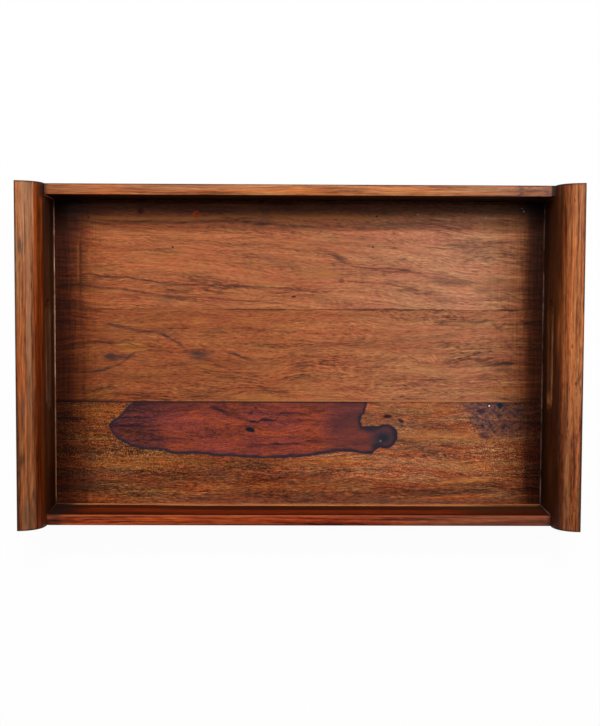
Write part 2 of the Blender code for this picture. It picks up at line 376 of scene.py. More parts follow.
MIDDLE_BOARD_VEINS = (
    (((-173.0, 26.2), (-161.4, 24.0), (-150.3, 22.3), (-141.7, 19.8), (-128.8, 18.5), (-121.9, 17.2),
      (-114.1, 13.8), (-105.5, 8.7), (-95.0, 4.2)), 1.5, 1.0),
    (((-189.0, 11.2), (-171.8, 9.3), (-158.9, 8.9), (-148.6, 8.5), (-141.7, 6.8), (-134.0, 4.0)),
     0.8, 0.6),
    (((-185.0, -18.0), (-176.3, -15.8), (-167.7, -14.0), (-159.0, -11.4), (-153.0, -7.9), (-147.8, -3.6),
      (-141.7, -0.1), (-134.0, 3.6)), 1.4, 1.0),
    (((-148.0, -6.0), (-133.2, -7.0), (-120.2, -7.8), (-107.3, -9.5), (-90.0, -9.4), (-79.0, -11.6)),
     0.8, 0.65),
    (((-66.0, 1.6), (-55.5, -0.7), (-46.9, -4.1), (-40.8, -5.8), (-37.0, -10.0)), 1.2, 1.1),
    (((-70.0, -38.0), (-55.5, -35.3), (-46.8, -32.7), (-38.2, -31.8), (-20.9, -32.6), (-4.0, -34.0)),
     0.9, 0.7),
)
FRONT_BOARD_GOLD = (
    (((118.0, -111.6), (132.0, -112.0), (146.0, -110.8), (158.0, -110.0), (170.0, -110.4)), 1.5, 0.9),
    (((104.0, -69.4), (118.0, -70.6), (132.0, -72.4), (148.0, -72.0)), 1.1, 0.6),
)
MIDDLE_BOARD_GOLD = (
    (((-166.0, 5.4), (-156.0, 7.4), (-146.0, 8.1), (-136.0, 7.2), (-127.0, 4.4)), 1.2, 0.9),
    (((-160.0, 1.0), (-150.0, 1.4), (-141.5, 2.2), (-133.0, 3.2), (-126.0, 4.4)), 1.0, 0.8),
)
HEARTWOOD_VEINS = (
    (((-82.0, -46.5), (-77.0, -47.1), (-70.6, -48.0), (-64.0, -51.3), (-57.0, -53.3), (-48.6, -56.2),
      (-42.0, -58.0)), 2.1, 0.9),
    (((-54.0, -54.0), (-44.3, -58.3), (-35.6, -59.6), (-31.3, -57.4), (-25.7, -57.6), (-22.5, -58.6),
      (-19.3, -55.4), (-16.4, -51.8), (-8.5, -51.8), (4.3, -52.8), (12.0, -52.0)), 1.2, 0.9),
    (((-48.0, -78.5), (-20.0, -79.0), (0.0, -77.5), (14.0, -76.5), (26.0, -77.5)), 0.9, 0.75),
    (((-134.0, -67.5), (-120.0, -67.0), (-112.0, -68.0)), 0.8, 0.8),
)

# Oval spots: x, y, half length, half width, strength, and a turn in degrees where there is one.
BACK_BOARD_PINS = (
    (-109, 91, 1.0, 1.0, 0.9),
    (-181, 116, 1.1, 1.0, 0.9),
    (63, 92, 1.2, 0.9, 0.8),
    (-5, 49, 2.1, 1.0, 0.9),
    (66, 118, 1.0, 1.0, 0.8),
    (36, 63, 2.8, 2.2, 0.45),
)
BACK_BOARD_SPECKS = (
    (101.3, 119.9, 0.9, 0.7, 0.5),
    (159.8, 117.3, 0.9, 0.7, 0.6),
    (192.5, 122.8, 0.9, 0.7, 0.55),
    (191.0, 125.5, 0.7, 0.6, 0.4),
)
BACK_BOARD_SMUDGES = (
    (-193, 114, 3, 4, 0.8),
    (-193, 106, 6, 2, 0.9),
    (-29, 120, 4, 5, 0.7),
    (-32, 111, 11, 2, 0.8, 3),
    (35, 110, 4, 2, 0.9, -30),
    (51, 108, 11, 2.2, 0.7, -6),
    (79, 110, 54, 3.6, 0.5, 2),
    (32, 83, 12, 2.4, 0.95, -26),
    (17, 90, 7, 1.4, 0.6, -5),
    (-11, 108, 12, 2.2, 0.4, -4),
    (90, 81, 4.3, 2, 0.6),
    (92, 72, 8, 2, 0.55),
    (147, 90, 22, 6, 0.35, -8),
    (164, 92, 12, 3, 0.4, -10),
    (130, 62, 17, 3.6, 0.65, -6),
    (160, 54, 10, 2, 0.5),
    (173, 105, 10, 1.4, 0.6, 2),
    (95, 55, 10, 2, 0.5, -3),
    (119, 47, 13, 2.2, 0.45, -6),
    (170, 64, 13, 3.5, 0.4, -4),
    (173, 49, 12, 2.2, 0.5, 3),
    (-17, 79, 22, 4, 0.4, -14),
    (-129, 70, 12, 2.2, 0.4),
    (-81, 67, 12, 3.5, 0.35, 6),
    (-113, 46, 10, 4.3, 0.35),
)
BACK_BOARD_OCHRE = (
    (-128, 115, 41, 1.3, 0.9),
    (-56, 118, 48, 1.6, 0.8, 4),
    (39, 117.5, 60, 2.8, 0.7),
    (23, 68.5, 10, 3.5, 0.5),
    (164, 110, 22, 2.6, 0.5, 4),
    (-120, 103, 35, 3, 0.35),
    (-188, 115, 19, 2.6, 0.5),
)
JOINT_SHADOWS = (
    (-168, 38, 15, 1.0, 0.5),
    (-34, 38, 30, 1.0, 0.75),
    (77, 38, 60, 1.1, 0.85),
    (180, 38, 16, 1.1, 0.85),
)
MIDDLE_BOARD_SMUDGES = (
    (156, 28, 12, 1.5, 0.85, 5),
    (173, 23, 4.5, 1.4, 0.5, 18),
    (180, 7, 3, 3, 0.5),
    (178, -8, 12, 2.3, 1.3, 6),
    (177, -13.5, 10, 1.7, 1.0, 2),
    (158, -19, 12, 1.6, 0.55, 10),
    (95, 18.5, 4.5, 1.1, 0.7, 5),
    (130, 16, 11, 2, 0.5),
    (122, 10, 15, 1.1, 0.5),
    (-160, -3.4, 13, 3.6, 1.3, 2),
    (-87, -1.5, 11, 5, 0.95, -8),
    (-177, -17, 9, 2.2, 0.55, 18),
    (-162, -30, 10, 1.2, 0.5),
    (24, 8, 12, 2.2, 0.5, 5),
    (11, 3, 8, 3, 0.45),
    (2, -11, 9, 1.6, 0.6, 5),
    (8, -22, 18, 2, 0.4, 2),
    (-6, -1, 3.5, 2, 0.6),
    (58, -16, 7, 4.3, 0.4),
    (84, -5, 8, 1.2, 0.5),
    (69, -11, 6, 2, 0.45, 10),
    (100, -26, 10, 1.4, 0.45, 6),
    (122, -23, 9, 2, 0.4),
    (-72, 19, 12, 2.2, 0.4),
    (-111, 16, 10, 4.3, 0.35, -15),
)
MIDDLE_BOARD_OCHRE = (
    (-146, 4.6, 13, 3.6, 0.7, -3),
    (-38, -38, 24, 4, 0.4),
    (-43, 28, 17, 3.5, 0.35),
    (-86, -12, 12, 3.5, 0.4, -8),
    (174, -31, 26, 2.6, 0.5, 4),
    (-86, 28, 10, 3.5, 0.4),
    (-172, -37, 17, 2.6, 0.4),
)
FRONT_BOARD_SMUDGES = (
    (80.5, -46, 1.2, 1.0, 0.7),
    (88.3, -53.2, 1.4, 1.0, 0.8),
    (84.5, -50, 1.6, 0.8, 0.5, -60),
    (-180, -46.5, 2, 2.1, 0.9, -20),
    (-175, -44, 26, 1.0, 0.5),
    (122, -62, 5.2, 1.7, 0.5),
    (172, -112.5, 8, 2.4, 1.0, 3),
    (-183, -112, 14, 11, 0.55),
    (-180, -90, 4.5, 8, 0.55),
    (149, -114, 26, 1.1, 0.7),
    (119, -86, 10, 2, 0.5, -5),
    (136, -90, 11, 1.7, 0.6, -12),
    (74, -100, 12, 1.7, 0.6, 6),
    (171.5, -96, 4.3, 1.7, 0.7, 42),
    (-133, -105, 24, 1.1, 0.6),
    (-129, -124, 9, 1.1, 0.85),
    (-119, -116.5, 3.5, 1.1, 0.6, 8),
    (-68, -105, 22, 4.3, 0.45),
    (-8, -105, 35, 3, 0.45),
    (-6, -112, 5.2, 1.5, 0.7),
    (23, -109, 22, 3, 0.45, -10),
    (40, -123, 43, 3, 0.8, -1),
    (-51, -124, 52, 1.4, 0.6),
    (132, -120, 60, 3, 0.8),
    (181, -124, 12, 1.5, 0.7, 6),
    (-186, -86, 5.2, 3.5, 0.5),
    (-172, -102, 35, 3.5, 0.35),
)
BURR_PATCH = (
    (172, -46, 31, 10, 0.95),
    (162, -60, 19, 8, 0.95, -38),
    (186, -58, 20, 15, 0.85),
)
BURR_BLOTCHES = (
    (150, -46, 6, 3.4, 0.5),
    (159, -49.8, 4.5, 2.2, 0.9),
    (150, -55.7, 4.3, 1.5, 0.9),
    (157, -62.6, 5.2, 2.0, 0.95, -8),
    (160, -57.5, 2.2, 1.4, 0.9),
    (168, -65, 5.6, 2.0, 0.95, -52),
    (161, -70.8, 5.0, 3.2, 0.9, -15),
    (174, -53.7, 3.8, 1.6, 0.8, 8),
    (179, -63, 2.6, 4.3, 0.85),
    (191, -49.8, 6.5, 3, 0.9),
    (190, -65, 4.6, 1.8, 0.8),
    (172, -43, 27, 1.5, 0.9),
)
BURR_STREAKS = (
    (157, -54, 2.2, 0.9, 0.8, -25),
    (170, -71, 5, 0.7, 0.7, -42),
    (154, -71, 3, 0.8, 0.6, -45),
)
BLUE_SPOT = (
    (174, -44, 3.4, 1.6, 1.0),
    (174.5, -45.5, 2.2, 1.6, 1.0),
)
FRONT_BOARD_LIGHT = (
    (146, -110.7, 20, 1.8, 0.6, 2),
    (-129, -95, 52, 6, 0.4, 2),
    (27, -94, 52, 4.3, 0.4, 3),
    (122, -72, 52, 5.2, 0.45, -2),
    (-172, -51, 26, 7, 0.35),
    (149, -97, 34, 5.2, 0.35),
    (105, -49, 34, 4.3, 0.35),
)
HEARTWOOD_DARK = (
    (-42.8, -51.8, 3, 2, 0.85),
    (-37.8, -47.2, 2.2, 1.2, 0.9),
    (-65, -46, 3, 5, 0.7),
    (-72, -46, 7, 3, 0.6),
    (-61.7, -62, 3.2, 1.0, 0.7),
    (-50, -70.4, 4, 1.0, 0.6, -15),
    (-28.5, -57, 3.5, 1.5, 0.9),
    (-20.7, -78.4, 5, 1.6, 0.7),
    (-2, -78, 4, 1.2, 0.7),
    (11.5, -75.9, 6, 1.6, 0.75, 5),
    (-40.6, -81.2, 4, 0.9, 0.6),
    (1.4, -57.4, 2.2, 1.2, 0.7, -20),
    (13, -61.7, 5, 1.6, 0.6),
    (13, -47, 5, 4, 0.6),
    (-105, -54, 10, 1.0, 0.6, 4),
    (-127, -70.5, 2.6, 1.7, 0.5),
    (40, -57.5, 14, 14, 0.35),
    (44, -44, 16, 3.5, 0.6),
    (-116, -45, 42, 6, 0.55),
    (24, -44, 26, 6, 0.35),
)
KNOT_BY_VEIN = (
    (-42.8, -66.1, 4.4, 2.3, 1.0, -8),
    (-40.6, -67.0, 2.6, 1.7, 1.0, -10),
)
LOBE_DARK = (
    (73.0, -73.2, 6.8, 5.0, 1.0),
    (60.5, -65.2, 7.5, 2.7, 0.95, -8),
    (67.6, -80.4, 5.6, 3.6, 1.0, 25),
    (82.5, -69, 2.4, 8, 0.8, 6),
)
DARK_EYES = (
    (76.7, -54.4, 4.3, 1.8, 1.0),
    (88.6, -58.4, 3.0, 1.7, 0.9, -30),
)

# Round spots: x, y, the radius where each ends and the one where it is full, strength, colour.
BACK_BOARD_KNOTS = (
    (-136.5, 121.8, 3.4, 2.4, 1.0, (0.11, 0.008, 0.004)),
    (-136.9, 122.2, 2.2, 0.8, 0.6, (0.010, 0.002, 0.002)),
    (-88.8, 119.0, 3.9, 2.7, 1.0, (0.42, 0.055, 0.008)),
    (-87.9, 119.8, 2.6, 1.2, 0.4, (0.10, 0.012, 0.003)),
)
BURR_DOT = (
    (165.0, -45.0, 2.0, 1.2, 0.7, BLACK_BROWN),
    (165.0, -45.0, 1.1, 0.5, 1.0, (0.80, 0.74, 0.72)),
)
LOBE_DOT = (
    (70.8, -75.8, 1.3, 0.5, 1.0, (0.13, 0.13, 0.13)),
)

# Straight lines across the grain: x, half width, y of both ends, strength, colour.
BACK_BOARD_LINES = (
    (-190.3, 0.8, 62.0, 94.0, 0.5, (0.22, 0.06, 0.015)),
    (-188.2, 0.8, 50.0, 98.0, 0.6, (0.045, 0.012, 0.005)),
    (205.0, 0.7, 58.0, 100.0, 0.7, (0.006, 0.002, 0.002)),
)

# The patch of red heartwood in the front board lies below its top line, above its foot and left of its
# right edge, which gives x for each y. A neck joins it to a round lobe.
HEARTWOOD_TOP = (
    (-165.0, -62.6), (-163.2, -60.0), (-159.3, -57.3), (-154.1, -53.0), (-149.7, -47.7), (-144.5, -42.5),
    (-140.0, -36.0), (-120.0, -33.0), (85.0, -33.0),
)
HEARTWOOD_RIGHT = (
    (-70.0, 58.0), (-64.0, 55.6), (-59.0, 53.9), (-55.4, 54.0), (-51.9, 56.0), (-47.0, 58.0),
    (-38.0, 59.4),
)
NECK_TOP = -62.8
HEARTWOOD_FOOT = (
    (-165.0, -62.6), (-162.8, -66.9), (-161.1, -69.5), (-156.8, -74.7), (-150.7, -78.2), (-142.1, -81.7),
    (-133.4, -83.4), (-120.4, -84.2), (-107.5, -87.7), (-85.8, -87.6), (-72.8, -89.3), (-55.4, -90.2),
    (-25.1, -91.0), (1.0, -90.0), (16.6, -88.2), (31.3, -85.6), (44.4, -85.1), (61.8, -87.2),
    (66.0, -84.5), (70.4, -81.5), (85.0, -76.0),
)
HEARTWOOD_LOWEST = -95.0
HEARTWOOD_HIGHEST = -30.0
HEARTWOOD_RIGHT_LEAST = 50.0
HEARTWOOD_RIGHT_MOST = 60.0
LOBE_X = 75.2
LOBE_Y = -71.6
LOBE_RADIUS = 10.6
NECK_BLEND = 4.0

FRONT_JOINT_Y = -41.75

# What share of the wood's own colour shows at a distance from the back, left and right walls: painted
# shade near the walls, partly a darker stain.
SIDE_SHADE_AND_STAIN_REACH = 60.0
BACK_SHADE_AND_STAIN_REACH = 30.0
LEAST_SHOWN = 0.01
MOST_SHOWN = 1.3
GREEN_FALL = 1.25
BLUE_FALL = 1.6
BACK_SHADE_AND_STAIN = (
    (0.0, 0.95), (1.8, 1.0), (3.5, 0.8), (5.2, 0.46), (7.0, 0.34), (8.6, 0.35), (10.3, 0.43),
    (12.1, 0.54), (13.7, 0.69), (15.5, 0.88), (17.2, 0.86), (19.0, 0.82), (20.6, 0.92), (22.3, 0.86),
    (25.5, 0.78), (26.8, 0.9), (28.0, 0.97), (30.0, 1.0),
)
LEFT_SHADE_AND_STAIN = (
    (0.0, 0.11), (7.0, 0.10), (10.5, 0.12), (14.0, 0.17), (17.0, 0.23), (20.0, 0.30), (24.0, 0.36),
    (28.0, 0.52), (32.0, 0.66), (37.0, 0.77), (43.0, 0.86), (50.0, 0.95), (60.0, 1.0),
)
RIGHT_SHADE_AND_STAIN = (
    (0.0, 0.06), (7.0, 0.06), (10.0, 0.08), (13.5, 0.13), (16.5, 0.25), (19.0, 0.34), (22.0, 0.43),
    (27.0, 0.56), (32.0, 0.66), (38.0, 0.76), (45.0, 0.88), (60.0, 1.0),
)


def lacquered(wood, height, roughness):
    """Wood under satin lacquer."""
    bump = wood.node("ShaderNodeBump", None, {"Strength": 0.35, "Distance": 0.2 * MM, "Height": height})
    shader = wood.node(
        "ShaderNodeBsdfPrincipled",
        None,
        {
            "Base Color": wood.colour,
            "Roughness": roughness,
            "Specular IOR Level": 0.05,
            "Coat Weight": 0.025,
            "Coat Roughness": 0.2,
            "Coat IOR": 1.45,
            "Normal": bump,
        },
    )
    wood.surface(shader)
    return wood.material


class BaseBoard(Wood):
    """A board of the tray's base: its figure, then the marks and stains painted over it, the stains by
    the walls partly painted shade.
    """

    def __init__(self, name, seed, slope, bands, lines, dashes, fibre):
        super().__init__(name, seed)
        self.across = self.y + self.x * slope
        self.wavy(85.0, 26.0, 5.0)
        self.wavy(26.0, 9.0, 0.9)
        self.fibre = self.streaks(7.0, 0.75, roughness=0.65)
        self.dashes = self.streaks(4.6, 1.1, detail=1.0)
        self.lines = self.streaks(48.0, 2.1, roughness=0.65)
        self.pores = self.streaks(3.6, 0.5, detail=0.0).step(0.35, 0.9)
        self.broken = self.streaks(12.0, 2.4, detail=1.0)
        spread = self.streaks(70.0, 20.0).step(-0.7, 0.5, 0.35, 1.15)
        creases = abs(self.streaks(34.0, 2.6)).step(0.3, 0.0)
        creases = creases * self.streaks(60.0, 12.0).step(-0.1, 0.5)
        ripple = self.streaks(5.5, 1.0, turn=-18.0) * self.streaks(38.0, 14.0).step(0.0, 0.6)
        self.tone = (
            0.5 + self.streaks(170.0, 11.0) * bands + self.lines * lines
            + self.dashes * spread * dashes + self.fibre * fibre + ripple * 0.3
            - self.pores * 0.15 - creases * 0.25
        )
        drift_x = self.streaks(14.0, 8.0) * 2.5
        drift_y = self.streaks(9.0, 6.0) * 0.8 + self.fibre * 0.3 + self.dashes * 0.3
        self.marked_x = self.x + drift_x
        self.marked_y = self.y + drift_y
        self.marked = self.joined(self.marked_x, self.marked_y)

    def lay(self, tones, tints, redder=REDDER, golden=GOLDEN):
        """Colours the figure by its tone, then tints it along the board and streak by streak."""
        self.colour = self.ramp(tones, self.tone)
        self.tint_along(tints)
        warmth = self.streaks(40.0, 6.0, detail=3.0).step(-0.7, 0.7)
        self.tinge(1.0, self.mix(warmth, redder, golden))

    def paint_spots(self, table, colour, softness=1.0, breaks=0.6):
        """Spots that wander with the grain and are broken up by it."""
        spots = self.spots(table, self.marked, softness)
        self.paint(spots * (1.0 - breaks * 0.5 + self.broken * breaks + self.lines * breaks), colour)

    def paint_clear_spots(self, table, colour, softness=1.0):
        """Spots with an unbroken outline."""
        self.paint(self.spots(table, self.flat(), softness), colour)

    def paint_veins(self, table, colour):
        veins = (self.vein(*row, self.marked_x, self.marked_y) for row in table)
        self.paint(reduce(Signal.most, veins) * (0.75 + self.broken * 0.7 + self.dashes * 0.3), colour)

    def paint_rounds(self, table):
        for x, y, edge, core, strength, colour in table:
            self.paint(self.near(x, y).step(edge, core, 0.0, strength), colour)

    def paint_lines(self, table):
        for x, half_width, start, end, strength, colour in table:
            line = abs(self.x + self.broken * 0.4 - x).step(half_width * 1.5, half_width * 0.5)
            line = line * self.y.between(
                start - LINE_FADE, start + LINE_FADE, end - LINE_FADE, end + LINE_FADE
            )
            self.paint(line * strength, colour)

    def shade_and_stain(self, shown):
        """Leaves a share of the colour, warmer as less of it is left."""
        shown = shown.least(MOST_SHOWN).most(LEAST_SHOWN)
        parts = [shown, shown ** GREEN_FALL, shown ** BLUE_FALL]
        self.tinge(1.0, self.node("ShaderNodeCombineColor", None, parts))

    def shade_and_stain_sides(self, depth=1.0):
        """Darkens the floor towards the left, right and back walls, as painted shade and partly a darker
        stain; depth below 1 spares the sides.
        """
        wander = self.streaks(30.0, 16.0) * 2.0
        left = (self.x + WELL_HALF_LENGTH + wander).least(SIDE_SHADE_AND_STAIN_REACH).most(0.0)
        right = (WELL_HALF_LENGTH - self.x + wander).least(SIDE_SHADE_AND_STAIN_REACH).most(0.0)
        shown = self.curve(LEFT_SHADE_AND_STAIN, left, 0.0, 1.0) * self.curve(RIGHT_SHADE_AND_STAIN, right, 0.0, 1.0)
        shown = shown ** depth
        stripes = self.streaks(30.0, 1.6, turn=90.0)
        self.shade_and_stain(shown * (1.0 + (stripes + self.lines) * (1.0 - shown) * 0.5))
        back = (WELL_HALF_DEPTH - self.y + wander * 0.4).least(BACK_SHADE_AND_STAIN_REACH).most(0.0)
        self.shade_and_stain(self.curve(BACK_SHADE_AND_STAIN, back, 0.0, 1.0))

    def finished(self):
        roughness = BASE_ROUGHNESS + self.fibre * 0.05 + self.pores * 0.1
        return lacquered(self, self.fibre * 0.4 - self.pores, roughness)


BACK_BOARD_TONES = (
    (0.0, (0.055, 0.020, 0.011)),
    (0.25, (0.19, 0.063, 0.029)),
    (0.5, (0.355, 0.116, 0.049)),
    (0.75, (0.49, 0.175, 0.074)),
    (1.0, (0.63, 0.26, 0.12)),
)
BACK_BOARD_TINTS = (
    (0.0, (1.12, 0.94, 0.72)),
    (0.3, (1.12, 0.98, 0.86)),
    (0.5, (1.12, 1.03, 0.98)),
    (0.8, (1.26, 1.50, 1.90)),
    (1.0, (1.34, 1.64, 2.0)),
)
MIDDLE_BOARD_TONES = (
    (0.0, (0.045, 0.015, 0.008)),
    (0.25, (0.17, 0.050, 0.021)),
    (0.5, (0.335, 0.098, 0.037)),
    (0.75, (0.47, 0.155, 0.056)),
    (1.0, (0.60, 0.24, 0.09)),
)
MIDDLE_BOARD_TINTS = (
    (0.0, (0.84, 0.72, 0.60)),
    (0.3, (0.94, 0.86, 0.78)),
    (0.5, (1.1, 1.06, 1.0)),
    (0.8, (1.18, 1.40, 1.74)),
    (1.0, (1.2, 1.5, 2.0)),
)
FRONT_BOARD_TONES = (
    (0.0, (0.022, 0.010, 0.006)),
    (0.25, (0.088, 0.025, 0.010)),
    (0.5, (0.212, 0.054, 0.018)),
    (0.75, (0.355, 0.106, 0.033)),
    (1.0, (0.53, 0.185, 0.062)),
)
FRONT_BOARD_TINTS = (
    (0.0, (0.86, 0.94, 0.85)),
    (0.22, (1.0, 1.08, 0.98)),
    (0.4, (1.06, 1.06, 1.02)),
    (0.7, (1.50, 1.87, 2.45)),
    (0.88, (1.48, 1.86, 2.3)),
    (1.0, (1.25, 1.5, 1.9)),
)
HEARTWOOD_TONES = (
    (0.0, (0.018, 0.008, 0.012)),
    (0.25, (0.085, 0.022, 0.019)),
    (0.5, (0.210, 0.040, 0.025)),
    (0.75, (0.345, 0.064, 0.032)),
    (1.0, (0.50, 0.10, 0.045)),
)


def finish_back_board():
    wood = BaseBoard(
        "wood_base_board_back", 1.0, 0.055, bands=0.12, lines=0.22, dashes=0.18, fibre=0.26
    )
    wood.lay(BACK_BOARD_TONES, BACK_BOARD_TINTS)
    wood.paint_spots(BACK_BOARD_OCHRE, OCHRE)
    wood.paint_spots(BACK_BOARD_SMUDGES, PURPLE_BROWN)
    wood.paint_veins(BACK_BOARD_GOLD, OCHRE)
    wood.paint_veins(BACK_BOARD_VEINS, PURPLE_BROWN)
    wood.paint_clear_spots(BACK_BOARD_PINS, BLACK_BROWN, 0.6)
    wood.paint_spots(JOINT_SHADOWS, BLACK_BROWN, 0.6)
    wood.shade_and_stain_sides()
    wood.paint_rounds(BACK_BOARD_KNOTS)
    wood.paint_lines(BACK_BOARD_LINES)
    wood.paint_clear_spots(BACK_BOARD_SPECKS, PALE_SPECK, 0.8)
    return wood.finished()


def finish_middle_board():
    wood = BaseBoard(
        "wood_base_board_middle", 40.0, 0.0, bands=0.14, lines=0.2, dashes=0.22, fibre=0.26
    )
    wood.lay(MIDDLE_BOARD_TONES, MIDDLE_BOARD_TINTS)
    wood.paint_spots(MIDDLE_BOARD_OCHRE, OCHRE)
    wood.paint_spots(MIDDLE_BOARD_SMUDGES, PURPLE_BROWN)
    wood.paint_veins(MIDDLE_BOARD_GOLD, OCHRE)
    wood.paint_veins(MIDDLE_BOARD_VEINS, PURPLE_BROWN)
    wood.paint_spots(JOINT_SHADOWS, BLACK_BROWN, 0.6)
    edge = wood.y.step(FRONT_JOINT_Y + 2.0, FRONT_JOINT_Y + 0.9)
    wood.paint(edge * wood.x.step(-150.0, 60.0, 0.05, 0.7), JOINT_GOLD)
    wood.paint(edge * wood.x.step(-130.0, -175.0, 0.0, 0.6), BLACK_BROWN)
    wood.shade_and_stain_sides(0.88)
    return wood.finished()


def heartwood_reach(wood):
    """How deep a place lies inside the patch of heartwood and inside its lobe; negative outside."""
    top = wood.curve(HEARTWOOD_TOP, wood.x, HEARTWOOD_LOWEST, HEARTWOOD_HIGHEST)
    foot = wood.curve(HEARTWOOD_FOOT, wood.x, HEARTWOOD_LOWEST, HEARTWOOD_HIGHEST)
    right = wood.curve(HEARTWOOD_RIGHT, wood.y, HEARTWOOD_RIGHT_LEAST, HEARTWOOD_RIGHT_MOST)
    above_foot = wood.y - foot
    body = (top - wood.y).least(above_foot).least(right - wood.x)
    neck = (NECK_TOP - wood.y).least(above_foot).least(LOBE_X - wood.x)
    lobe = LOBE_RADIUS - wood.near(LOBE_X, LOBE_Y)
    return body.maths("SMOOTH_MAX", body, lobe, NECK_BLEND).most(neck), lobe


def speckle_front_board(wood, speckle):
    """Fine flecks all over, speckles towards both ends, and a calmer figure right of the lobe."""
    flecks = wood.streaks(2.8, 0.7, detail=1.0)
    wood.tone = wood.tone + flecks * 0.2
    speckled = wood.x.step(-70.0, -130.0, 0.5, 1.1).most(wood.x.step(120.0, 170.0))
    speckled = speckled * wood.y.step(-118.0, -98.0, 0.35, 1.0)
    wood.tone = wood.tone + speckle * speckled * 0.6
    calm = wood.x.between(40.0, 66.0, 120.0, 165.0) * wood.y.step(-90.0, -78.0)
    wood.tone = wood.tone + (0.52 - wood.tone) * calm * 0.3


def paint_burr(wood):
    """The patch of burr at the right, by the middle board."""
    patch = wood.spots(BURR_PATCH, wood.marked, 0.7)
    mottle = wood.streaks(4.2, 2.6, roughness=0.6)
    wood.paint(patch * mottle.step(-0.6, 0.3, 0.75, 1.0), BURR_BROWN)
    blotches = wood.spots(BURR_BLOTCHES, wood.marked, 0.8)
    wood.paint(blotches * (0.95 + wood.broken * 0.4 + mottle * 0.3), BURR_PURPLE)
    wood.paint(patch * abs(mottle + 0.15).step(0.22, 0.03, 0.0, 0.65), BURR_OCHRE)
    wood.paint_clear_spots(BURR_STREAKS, BURR_GOLD, 0.8)
    wood.paint_clear_spots(BLUE_SPOT, DEEP_BLUE, 0.4)
    wood.paint_rounds(BURR_DOT)


def paint_heartwood(wood, speckle):
    """The patch of red heartwood, with its own figure, marks, lobe and rim."""
    reach, lobe = heartwood_reach(wood)
    reach = reach + wood.streaks(7.0, 4.0) * 0.9
    plain = wood.colour
    figure = 0.54 + wood.streaks(40.0, 6.0) * 0.26 + wood.lines * 0.16 + wood.dashes * 0.16
    figure = figure + wood.fibre * 0.28 + speckle * 0.22
    figure = figure - wood.x.step(-100.0, -145.0, 0.0, 0.33) - wood.x.step(12.0, 40.0, 0.0, 0.14)
    wood.colour = wood.ramp(HEARTWOOD_TONES, figure)
    warmth = wood.streaks(34.0, 7.0, roughness=0.6).step(-0.6, 0.6)
    wood.tinge(1.0, wood.mix(warmth, CRIMSON, EMBER))
    wood.paint_spots(HEARTWOOD_DARK, PURPLE_BLACK, breaks=0.3)
    wood.paint_veins(HEARTWOOD_VEINS, PURPLE_BLACK)
    wood.paint(wood.x.step(8.0, 44.0, 0.0, 0.5), DUSKY_RED)
    wood.paint(lobe.step(-9.0, 1.5, 0.0, 0.85), LOBE_BROWN)
    wood.paint_clear_spots(KNOT_BY_VEIN, KNOT_BLACK, 0.6)
    wood.paint_clear_spots(LOBE_DARK, LOBE_BLUE)
    wood.paint_rounds(LOBE_DOT)
    rim = reach + wood.broken * 0.8
    wood.paint(rim.step(7.0, 1.0, 0.0, 0.4), RIM_PURPLE)
    wood.paint(rim.step(3.6, 1.2, 0.0, 0.93), RIM_BLACK)
    wood.colour = wood.mix(reach.step(-0.7, 0.7), plain, wood.colour)


def finish_front_board():
    wood = BaseBoard(
        "wood_base_board_front", 90.0, 0.0, bands=0.22, lines=0.2, dashes=0.22, fibre=0.42
    )
    speckle = wood.streaks(1.4, 0.9, detail=1.0, roughness=0.6, turn=25.0)
    speckle_front_board(wood, speckle)
    wood.lay(FRONT_BOARD_TONES, FRONT_BOARD_TINTS, FRONT_REDDER, FRONT_GOLDEN)
    wood.paint_spots(FRONT_BOARD_LIGHT, OCHRE)
    wood.paint_veins(FRONT_BOARD_GOLD, BRIGHT_GOLD)
    wood.paint_spots(FRONT_BOARD_SMUDGES, PURPLE_BROWN, breaks=0.7)
    foot = wood.y.step(-105.0, -113.0) * wood.x.between(-75.0, -15.0, 160.0, 185.0)
    wood.tinge(foot, FRONT_FOOT_TINT)
    paint_burr(wood)
    paint_heartwood(wood, speckle)
    wood.paint_clear_spots(DARK_EYES, EYE_BLACK, 0.7)
    edge = wood.y.step(FRONT_JOINT_Y - 1.7, FRONT_JOINT_Y - 0.7)
    wood.paint(edge * wood.x.step(52.0, 80.0, 0.85, 0.3), BLACK_BROWN)
    shade = wood.y.step(-124.5, -127.0) * wood.x.step(-135.0, -95.0, 0.0, 0.5)
    wood.paint(shade * (0.85 + wood.lines * 0.6), PURPLE_BROWN)
    wood.shade_and_stain_sides(0.8)
    return wood.finished()


# Rails, end boards and dowels

RAIL_TONES = (
    (0.0, (0.05, 0.018, 0.010)),
    (0.25, (0.20, 0.062, 0.024)),
    (0.5, (0.41, 0.135, 0.050)),
    (0.75, (0.56, 0.205, 0.075)),
    (1.0, (0.70, 0.31, 0.12)),
)
FRONT_RAIL_TONES = (
    (0.0, (0.02, 0.007, 0.004)),
    (0.25, (0.11, 0.018, 0.009)),
    (0.5, (0.25, 0.040, 0.012)),
    (0.75, (0.38, 0.075, 0.017)),
    (1.0, (0.52, 0.13, 0.030)),
)
LEFT_END_TONES = (
    (0.0, (0.025, 0.012, 0.008)),
    (0.25, (0.13, 0.048, 0.022)),
    (0.5, (0.28, 0.100, 0.042)),
    (0.75, (0.40, 0.165, 0.075)),
    (1.0, (0.52, 0.25, 0.13)),
)
RIGHT_END_TONES = (
    (0.0, (0.025, 0.010, 0.006)),
    (0.25, (0.15, 0.045, 0.017)),
    (0.5, (0.34, 0.108, 0.040)),
    (0.75, (0.46, 0.165, 0.064)),
    (1.0, (0.58, 0.25, 0.11)),
)
DOWEL_TONES = (
    (0.0, (0.25, 0.15, 0.07)),
    (0.5, (0.52, 0.36, 0.19)),
    (1.0, (0.70, 0.54, 0.33)),
)


